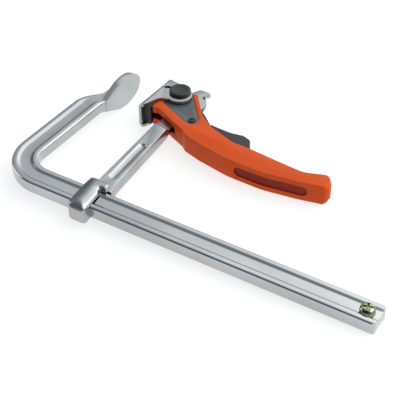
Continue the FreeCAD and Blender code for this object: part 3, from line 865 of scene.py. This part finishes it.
    def eye_side(self, name, near, far):
        """The eye's outline seen along the bar, drawn out sideways."""
        h, near_round, far_round = 0.0092, 0.0075, 0.005
        left, right = 0.04, 0.08
        profile = rounded([(near, -h, near_round), (far, -h, far_round),
                           (far, h, far_round), (near, h, near_round)], 8)
        return end_slab(name, profile, left, right)

    def eye_plan(self, corners):
        """The eye or its collar from above, with corners in millimetres."""
        return slab("plan", rounded(in_mm(corners), 8), -THROUGH, THROUGH)

    def hole(self, context, arm):
        """The leaning passage for the bar."""
        bar = context.scene.clamp_bar
        play_across, play_up, corner, reach = 0.0008, 0.0003, 0.0008, 0.03
        w, t = bar.width / 2 + play_across, bar.thickness / 2 + play_up
        centre = Vector((EYE_X, BAR_CENTRE_Y, 0))
        turn = Matrix.Rotation(arm.lean, 3, "Z")
        profile = rounded([(-w, -t, corner), (w, -t, corner), (w, t, corner), (-w, t, corner)], 3)
        piece = start_face("hole", profile, lambda y, z: centre + turn @ Vector((-reach, y, z)))
        extrude(turn @ Vector((2 * reach, 0, 0)))
        return end_edit(piece)


def cam_edge():
    """The nose's working edge, seen from the pivot, in metres."""
    travel, opening, play, steps = 0.0095, math.radians(45), 0.0002, 8
    per_radian = travel / opening
    reach = PIVOT.x - insert_high[0] - play
    points = []
    for step in range(steps + 1):
        turn = opening * (1 - step / steps)
        push = Vector((-(reach - per_radian * turn), -per_radian))
        points.append(Matrix.Rotation(-turn, 2) @ push)
    return points


def lever_outline():
    """The lever from above, from the nose along the near side and back along the far side."""
    corners = in_mm([
        (-9.6, -25.2, 1.0), (-5.0, -23.8, 3), (-1.2, -25.0, 3), (12.6, -32.0, 10), (26.4, -38.0, 4),
        (31.2, -42.0, 4.5), (46.0, -46.4, 30), (74.0, -51.8, 80), (103.0, -52.4, 60), (130.0, -48.2, 30),
        (149.3, -43.6, 4.5), (150.4, -38.0, 4.5), (143.4, -30.6, 4), (127.0, -37.0, 20),
        (100.0, -34.5, 40), (78.0, -32.2, 40), (66.0, -32.3, 20), (40.0, -22.4, 20), (30.0, -15.0, 10),
        (10.9, 7.5, 0.8), (8.2, 6.3, 0.8), (-6.3, 6.3, 6.25), (-6.3, -3.0, 2), (-7.2, -6.6, 0)])
    points = rounded(corners, 8) + cam_edge()
    return [Vector((PIVOT.x, PIVOT.y)) + point for point in points]


def plate_outline(grow):
    """The side plate's outline in metres, or its pocket's when it is grown, in millimetres."""
    return rounded(in_mm([
        (-6.2 - grow, -15.2 - grow, 2), (27.2 - grow / 2, -30.9 - grow, 5.4 + grow),
        (32.7 + grow, -23.9, 5.4 + grow), (7.9 + grow, 6.0 + grow, 1.2),
        (-5.0 - grow, 5.4 + grow, 4.5)], (PIVOT.x, PIVOT.y)), 10)


def shaded(tool):
    """Gives a cutter the darker paint that is painted shade, which the faces that it leaves then keep."""
    paint_slots(tool, lever_paint(), painted_recess_shade())
    for face in tool.data.polygons:
        face.material_index = 1
    return tool


class BuildLever(bpy.types.Operator):
    """Build the painted lever"""
    bl_idname = "clamp.build_lever"
    bl_label = "Lever"

    def execute(self, context):
        lever = context.scene.clamp_lever
        top, pocket_floor = lever_high[2], plate_low[2]
        body = slab("painted_lever", lever_outline(), -top, top)
        # The second paint slot holds the painted shade for the lever's hollows.
        paint_slots(body, lever_paint(), painted_recess_shade())
        bevel_edges(body, self.near_edge, lever.grip_round, segments=6)
        bevel_edges(body, self.far_edge, lever.edge_round, segments=4)
        combine(body, self.barrel(top), "INTERSECT")
        # The faces cut by the gap and slot get the painted shade.
        cut(body, shaded(self.gap()), shaded(self.slot()))
        pocket = plate_outline(grow=0.15)
        cut(body, slab("pocket", pocket, pocket_floor, top + PAST))
        cut(body, slab("pocket", pocket, -top - PAST, -pocket_floor))
        cut(body, self.finger_recess(lever))
        soften(body, 0.0003, segments=2, angle=55)
        hand_over(body, "lever", "orange_paint", lever_paint(), "lever_handle", angle=32)
        return {"FINISHED"}

    def is_rim(self, a, b):
        """An edge of the lever's upper or lower face."""
        return abs(abs(a.z) - lever_high[2]) < TOUCH and abs(a.z - b.z) < TOUCH

    def on_near_side(self, place):
        """The grip's side that the fingers close on."""
        grip_start, grip_middle = 0.03, -0.0375
        return place.x > PIVOT.x + grip_start and place.y < PIVOT.y + grip_middle

    def near_edge(self, a, b):
        """The rim along the grip's near side."""
        return self.is_rim(a, b) and self.on_near_side((a + b) / 2)

    def far_edge(self, a, b):
        """The rest of the rim, apart from the edges round the plates and the nose."""
        cheek_end, middle = 0.012, (a + b) / 2
        return self.is_rim(a, b) and not self.on_near_side(middle) and middle.x > PIVOT.x + cheek_end

    def barrel(self, top):
        """The form that the lever stays inside, whose end is rounded over."""
        start, end, end_round = -0.01, lever_high[0] + 0.0006, 0.0075
        near, far = -0.1, 0.05
        profile = rounded([(start, -top - PAST, 0), (end, -top - PAST, end_round),
                           (end, top + PAST, end_round), (start, top + PAST, 0)], 10)
        return side_slab("barrel", profile, near, far)

    def gap(self):
        """The room between the cheeks for the arm's thin end."""
        half = 0.0028
        return slab("gap", rounded(in_mm([
            (-40, -75, 0), (16.6, -75, 0), (16.6, -31, 3), (22.6, -16.0, 3), (35.0, -33.0, 4),
            (52, -34, 0), (52, 40, 0), (-40, 40, 0)], PIVOT.xy)), -half, half)

    def slot(self):
        """The deeper room for the pawl and the trigger."""
        half = 0.0055
        return slab("slot", rounded(in_mm([
            (35.5, 0, 0), (35.5, -32.5, 3), (46, -36.5, 6), (70, -41.5, 5), (83, -38.5, 3),
            (83, 0, 0)], PIVOT.xy)), -half, half)

    def finger_recess(self, lever):
        """A long recess with round ends, sunk into the curved near side."""
        depth, half = lever.window_depth / MM, lever.window_height / 2
        band_half, first, last = 0.006, 0.083, 0.132
        band = slab("band", rounded(in_mm([
            (70, -51.0 + depth, 0), (74, -51.8 + depth, 80), (103, -52.4 + depth, 60),
            (130, -48.2 + depth, 30), (145, -44.6 + depth, 0), (145, -60, 0), (70, -60, 0)],
            PIVOT.xy)), -band_half, band_half)
        outline = stadium(PIVOT.x + first, 0, PIVOT.x + last, 0, half)
        window = side_slab("window", outline, -0.06, -0.03)
        combine(band, window, "INTERSECT")
        # The recess's faces get the painted shade.
        return shaded(band)


class BuildSidePlates(bpy.types.Operator):
    """Build the side plates let into the lever, and the rivet through them"""
    bl_idname = "clamp.build_side_plates"
    bl_label = "Side plates and rivet"

    def execute(self, context):
        self.plates()
        self.rivet()
        return {"FINISHED"}

    def plates(self):
        """The upper plate with its two holes, and its twin below."""
        plate = slab("side_plate_top", plate_outline(grow=0), plate_low[2], plate_high[2])
        cut(plate, round_bar("bore", PIVOT.x, PIVOT.y, PIN_HOLE, 0, THROUGH),
            round_bar("bore", RIVET.x, RIVET.y, RIVET_HOLE, 0, THROUGH, sides=32))
        soften(plate, 0.0003, segments=3, angle=40)
        twin = other_side(plate, "side_plate_bottom")
        hand_over(plate, "lever", "plate_grey", plate_paint(), "side_plate_upper")
        hand_over(twin, "lever", "plate_grey", plate_paint(), "side_plate_lower")

    def rivet(self):
        """A rivet with a dimpled head on each side."""
        radius, top = (rivet_high[0] - rivet_low[0]) / 2, rivet_high[2]
        face = plate_high[2]
        rivet = round_bar("apex_rivet", RIVET.x, RIVET.y, RIVET_HOLE, -face, face)
        head = round_bar("rivet_head", RIVET.x, RIVET.y, radius, face, top)
        bevel_edges(head, above(top), 0.0006, segments=4)
        width, depth = 0.0012, 0.0003
        cut(head, round_bar("dimple", RIVET.x, RIVET.y, width, top - depth, top + PAST, sides=24))
        foot = other_side(head, "rivet_foot")
        combine(rivet, head, "UNION")
        combine(rivet, foot, "UNION")
        hand_over(rivet, "lever", "dark_steel", blackened_steel(), "plate_rivet")


class BuildShoe(bpy.types.Operator):
    """Build the shoe and the black block inside it"""
    bl_idname = "clamp.build_shoe"
    bl_label = "Shoe and insert"

    def execute(self, context):
        head = context.scene.clamp_head
        self.shoe(head)
        self.insert(head)
        return {"FINISHED"}

    def shoe(self, head):
        """Sheet bent to a U, with an ear above and below."""
        x0, y0 = shoe_low[0], shoe_low[1]
        y1, z1 = shoe_high[1], shoe_high[2]
        inner_x, inner_z = x0 + head.sheet, z1 - head.sheet
        tail = PIVOT.x + 0.02
        bend, inside = head.sheet_bend, head.sheet_bend - head.sheet
        profile = rounded([
            (x0, -z1, bend), (tail, -z1, 0), (tail, -inner_z, 0), (inner_x, -inner_z, inside),
            (inner_x, inner_z, inside), (tail, inner_z, 0), (tail, z1, 0), (x0, z1, bend)], 8)
        shoe = side_slab("shoe_channel", profile, y0, y1)
        combine(shoe, self.shoe_plan(x0 - PAST, y0, y1), "INTERSECT")
        half, slot_start, slot_end = head.slot_width / 2, 0.0306, PIVOT.x + 0.0001
        slot = stadium(slot_start + half, PIVOT.y, slot_end, PIVOT.y, half)
        cut(shoe, slab("slot", slot, -THROUGH, THROUGH))
        soften(shoe, 0.00035, segments=3, angle=50)
        hand_over(shoe, "jaw", "zinc_sheet", sheet_zinc(), "shoe", angle=32)

    def shoe_plan(self, left, y0, y1):
        """The shoe from above, from its flat face to the ear's round end."""
        ear, ear_radius = Vector((0.0469, 0.0056)), 0.0099
        plan = slab("plan", rounded([
            (left, y0, 0), (0.0308, y0, 0.0015), (0.0360, -0.0060, 0.006),
            (ear.x - 0.0034, ear.y - 0.0093, 0.002), (ear.x, ear.y, 0),
            (PIVOT.x + 0.004, PIVOT.y + 0.008, 0.002), (left, y1, 0)], 8), -THROUGH, THROUGH)
        round_end = round_bar("ear", ear.x, ear.y, ear_radius, -THROUGH, THROUGH, sides=72)
        combine(plan, round_end, "UNION")
        return plan

    def insert(self, head):
        """The block that fills the U's inside, which the lever's nose pushes."""
        x0, x1, z1 = insert_low[0], insert_high[0], insert_high[2]
        bend, edge = head.sheet_bend - head.sheet, 0.0004
        profile = rounded([(x0, -z1, bend), (x1, -z1, edge), (x1, z1, edge), (x0, z1, bend)], 5)
        block = side_slab("nose_block", profile, insert_low[1], insert_high[1])
        soften(block, 0.0005, segments=3, angle=40)
        hand_over(block, "jaw", "insert_black", black_moulding(), "pressure_insert")


class BuildCaps(bpy.types.Operator):
    """Build the black caps on the pivot pin"""
    bl_idname = "clamp.build_caps"
    bl_label = "Pivot caps"

    def execute(self, context):
        chamfer = context.scene.clamp_head.cap_chamfer
        radius = (cap_high[0] - cap_low[0]) / 2
        bottom, top = cap_low[2], cap_high[2]
        cap = round_bar("cap_top", PIVOT.x, PIVOT.y, radius, bottom, top, sides=64)
        bevel_edges(cap, above(top), chamfer, segments=4)
        hollow_radius, hollow_top = 0.0062, bottom + 0.0008
        cut(cap, round_bar("hollow", PIVOT.x, PIVOT.y, hollow_radius, bottom - PAST, hollow_top))
        dish_radius, dish_floor = radius * 0.66, top - 0.00025
        cut(cap, round_bar("dish", PIVOT.x, PIVOT.y, dish_radius, dish_floor, top + PAST, sides=64))
        soften(cap, 0.0002, segments=3, angle=40)
        twin = other_side(cap, "cap_bottom")
        hand_over(cap, "pivot", "cap_black", black_moulding(), "pivot_cap_upper")
        hand_over(twin, "pivot", "cap_black", black_moulding(), "pivot_cap_lower")
        return {"FINISHED"}


class BuildRelease(bpy.types.Operator):
    """Build the pawl and its trigger"""
    bl_idname = "clamp.build_release"
    bl_label = "Pawl and trigger"

    def execute(self, context):
        self.pawl(context.scene.clamp_arm)
        self.trigger()
        return {"FINISHED"}

    def pawl(self, arm):
        """The flat pawl, whose short curved end follows the quadrant's teeth."""
        play, pin_hole = 0.2, 0.00205
        tip, thin = arm.tooth_radius / MM + play, arm.plate_thickness / 2
        outline = rounded(in_mm([
            (*polar(tip, -2.5), 0), (*polar(tip + 0.15, -7), 0), (*polar(tip, -11), 0),
            (24.2, -13.6, 5), (37.2, -30.2, 4), (44.5, -31.4, 4), (61.0, -27.4, 1.5),
            (61.0, -22.8, 1.5), (45.5, -22.8, 2), (27.4, -7.2, 3), (23.4, -4.2, 0.6)], PIVOT.xy), 6)
        pawl = slab("toothed_pawl", outline, -thin, thin)
        cut(pawl, round_bar("bore", PAWL_PIVOT.x, PAWL_PIVOT.y, pin_hole, -THROUGH, THROUGH))
        soften(pawl, 0.0002, segments=2, angle=40)
        hand_over(pawl, "release", "dark_steel", blackened_steel(), "pawl")

    def trigger(self):
        """The trigger, hollowed out for the pawl's tail."""
        h, thin, rim_round = trigger_high[2], 0.0023, 0.0018
        outline = rounded(in_mm([
            (39.4, -19.6, 1), (38.0, -17.0, 1), (43.0, -18.0, 3), (57.0, -18.8, 20), (67.0, -17.0, 5),
            (76.3, -20.2, 4.5), (73.6, -29.0, 3), (69.0, -34.6, 4), (48.0, -27.6, 3),
            (46.6, -23.0, 1)], PIVOT.xy), 8)
        body = slab("release_trigger", outline, -h, h)
        bevel_edges(body, lambda a, b: abs(a.z - b.z) < TOUCH, rim_round, segments=5)
        space = slab("space", rounded(in_mm([
            (30, -12.4, 0), (46, -22.2, 0), (62.0, -22.2, 0), (62.0, -28.0, 0), (44, -33.5, 0),
            (30, -33.5, 0)], PIVOT.xy)), -thin, thin)
        cut(body, space)
        hand_over(body, "release", "trigger_black", black_moulding(), "trigger", angle=35)


class FinishFrameNodes(bpy.types.Operator):
    """Give the pins, washers and spring that stay from the frame their finishes"""
    bl_idname = "clamp.finish_frame_nodes"
    bl_label = "Pins, washers and spring"

    def execute(self, context):
        finishes = {
            blackened_steel: ("pivot_pin", "keeper_washer_upper", "keeper_washer_lower",
                              "spacer_washer_upper", "spacer_washer_lower", "pawl_pin", "trigger_pin"),
            spring_wire: ("pawl_spring",),
        }
        for finish, names in finishes.items():
            for name in names:
                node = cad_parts[name]
                node.data.materials.clear()
                node.data.materials.append(finish())
                select_only(node)
                bpy.ops.object.shade_smooth_by_angle(angle=math.radians(30))
        return {"FINISHED"}


class BuildStage(bpy.types.Operator):
    """Set up the floor, the lights and the camera"""
    bl_idname = "clamp.build_stage"
    bl_label = "Floor, lights and camera"

    def execute(self, context):
        self.floor()
        self.lights()
        self.camera(context)
        return {"FINISHED"}

    def floor(self):
        """The clamp lies on its lower cap, the eye and the bar's end, so the floor meets all three."""
        air = 0.00005
        cap = Vector((PIVOT.x, PIVOT.y, -cap_high[2] - air))
        eye = Vector((EYE_X, BAR_CENTRE_Y - 0.0145, -0.0093))
        end = Vector((bar_high[0], BAR_CENTRE_Y - 0.008, -0.00485))
        up = (eye - cap).cross(end - cap).normalized()
        deselect()
        bpy.ops.mesh.primitive_plane_add(size=6)
        floor = bpy.context.object
        floor.name = "pale_floor"
        turn = Vector((0, 0, 1)).rotation_difference(up)
        floor.data.transform(Matrix.Translation(cap) @ turn.to_matrix().to_4x4())
        floor.data.materials.append(pale_floor())

    def lights(self):
        """A sky that glows where the clamp's upper faces mirror it, and three soft lights."""
        world = bpy.context.scene.world or bpy.data.worlds.new("studio")
        bpy.context.scene.world = world
        world.use_nodes = True
        tree = world.node_tree
        brightest = (0.25, 0.70, 0.67)
        direction = add_node(tree, "ShaderNodeTexCoord")
        towards = add_node(tree, "ShaderNodeVectorMath", {1: brightest}, operation="DOT_PRODUCT")
        glow = add_node(tree, "ShaderNodeValToRGB")
        glow.color_ramp.elements[0].position = 0.0
        glow.color_ramp.elements[0].color = (0.085, 0.09, 0.1, 1)
        glow.color_ramp.elements[1].position = 0.92
        glow.color_ramp.elements[1].color = (0.99, 1.0, 0.975, 1)
        for position, level in ((0.30, 0.12), (0.62, 0.31)):
            step = glow.color_ramp.elements.new(position)
            step.color = (level, level * 1.07, level * 1.2, 1)
        tree.links.new(direction.outputs["Generated"], towards.inputs[0])
        tree.links.new(towards.outputs["Value"], glow.inputs["Fac"])
        background = tree.nodes["Background"]
        tree.links.new(glow.outputs["Color"], background.inputs["Color"])
        background.inputs["Strength"].default_value = 1.7
        subject = Vector((0.11, -0.06, 0))
        softboxes = {
            "left": ((-1.3, -0.3, 0.5), 0.8, 3.0),
            "above": ((1.25, 0.0, 1.25), 2.0, 12.5),
            "right": ((1.2, 0.9, 0.8), 0.8, 3.0),
        }
        for name, (place, size, power) in softboxes.items():
            deselect()
            bpy.ops.object.light_add(type="AREA", location=place)
            light = bpy.context.object
            light.name = name
            light.data.shape = "DISK"
            light.data.size = size
            light.data.energy = power
            aim = subject - Vector(place)
            light.rotation_euler = aim.to_track_quat("-Z", "Y").to_euler()

    def camera(self, context):
        stage = context.scene.clamp_stage
        a, e = stage.azimuth, stage.elevation
        back = Vector((math.sin(a) * math.cos(e), -math.cos(a) * math.cos(e), math.sin(e)))
        right = Vector((math.cos(a), math.sin(a), 0))
        up = back.cross(right)
        look = Vector((0.1134, -0.0707, -0.0136))
        place = look + back * stage.distance
        axes = Matrix((right, up, back)).transposed() @ Matrix.Rotation(stage.roll, 3, "Z")
        deselect()
        bpy.ops.object.camera_add()
        camera = context.object
        camera.name = "product_camera"
        camera.matrix_world = Matrix.Translation(place) @ axes.to_4x4()
        camera.data.sensor_width = 36
        camera.data.lens = stage.lens
        camera.data.clip_start = 0.01
        context.scene.camera = camera
        context.scene.view_settings.view_transform = "Standard"


PIECES = (BuildBar, BuildScrew, BuildArm, BuildLever, BuildSidePlates, BuildShoe, BuildCaps,
          BuildRelease, FinishFrameNodes, BuildStage)


class ClampPanel(bpy.types.Panel):
    """Buttons for the clamp's pieces"""
    bl_idname = "VIEW3D_PT_clamp"
    bl_label = "Bar clamp"
    bl_space_type = "VIEW_3D"
    bl_region_type = "UI"
    bl_category = "Clamp"

    def draw(self, context):
        for piece in PIECES:
            self.layout.operator(piece.bl_idname)
        for name, group in SETTINGS.items():
            box = self.layout.box()
            for key in group.__annotations__:
                box.prop(getattr(context.scene, name), key)


def register():
    for group in SETTINGS.values():
        bpy.utils.register_class(group)
    for name, group in SETTINGS.items():
        setattr(bpy.types.Scene, name, PointerProperty(type=group))
    for piece in PIECES:
        bpy.utils.register_class(piece)
    bpy.utils.register_class(ClampPanel)


def unregister():
    bpy.utils.unregister_class(ClampPanel)
    for piece in reversed(PIECES):
        bpy.utils.unregister_class(piece)
    for name, group in SETTINGS.items():
        delattr(bpy.types.Scene, name)
        bpy.utils.unregister_class(group)


def main():
    register()
    for piece in PIECES:
        area, action = piece.bl_idname.split(".")
        getattr(getattr(bpy.ops, area), action)()


if __name__ == "__main__":
    main()
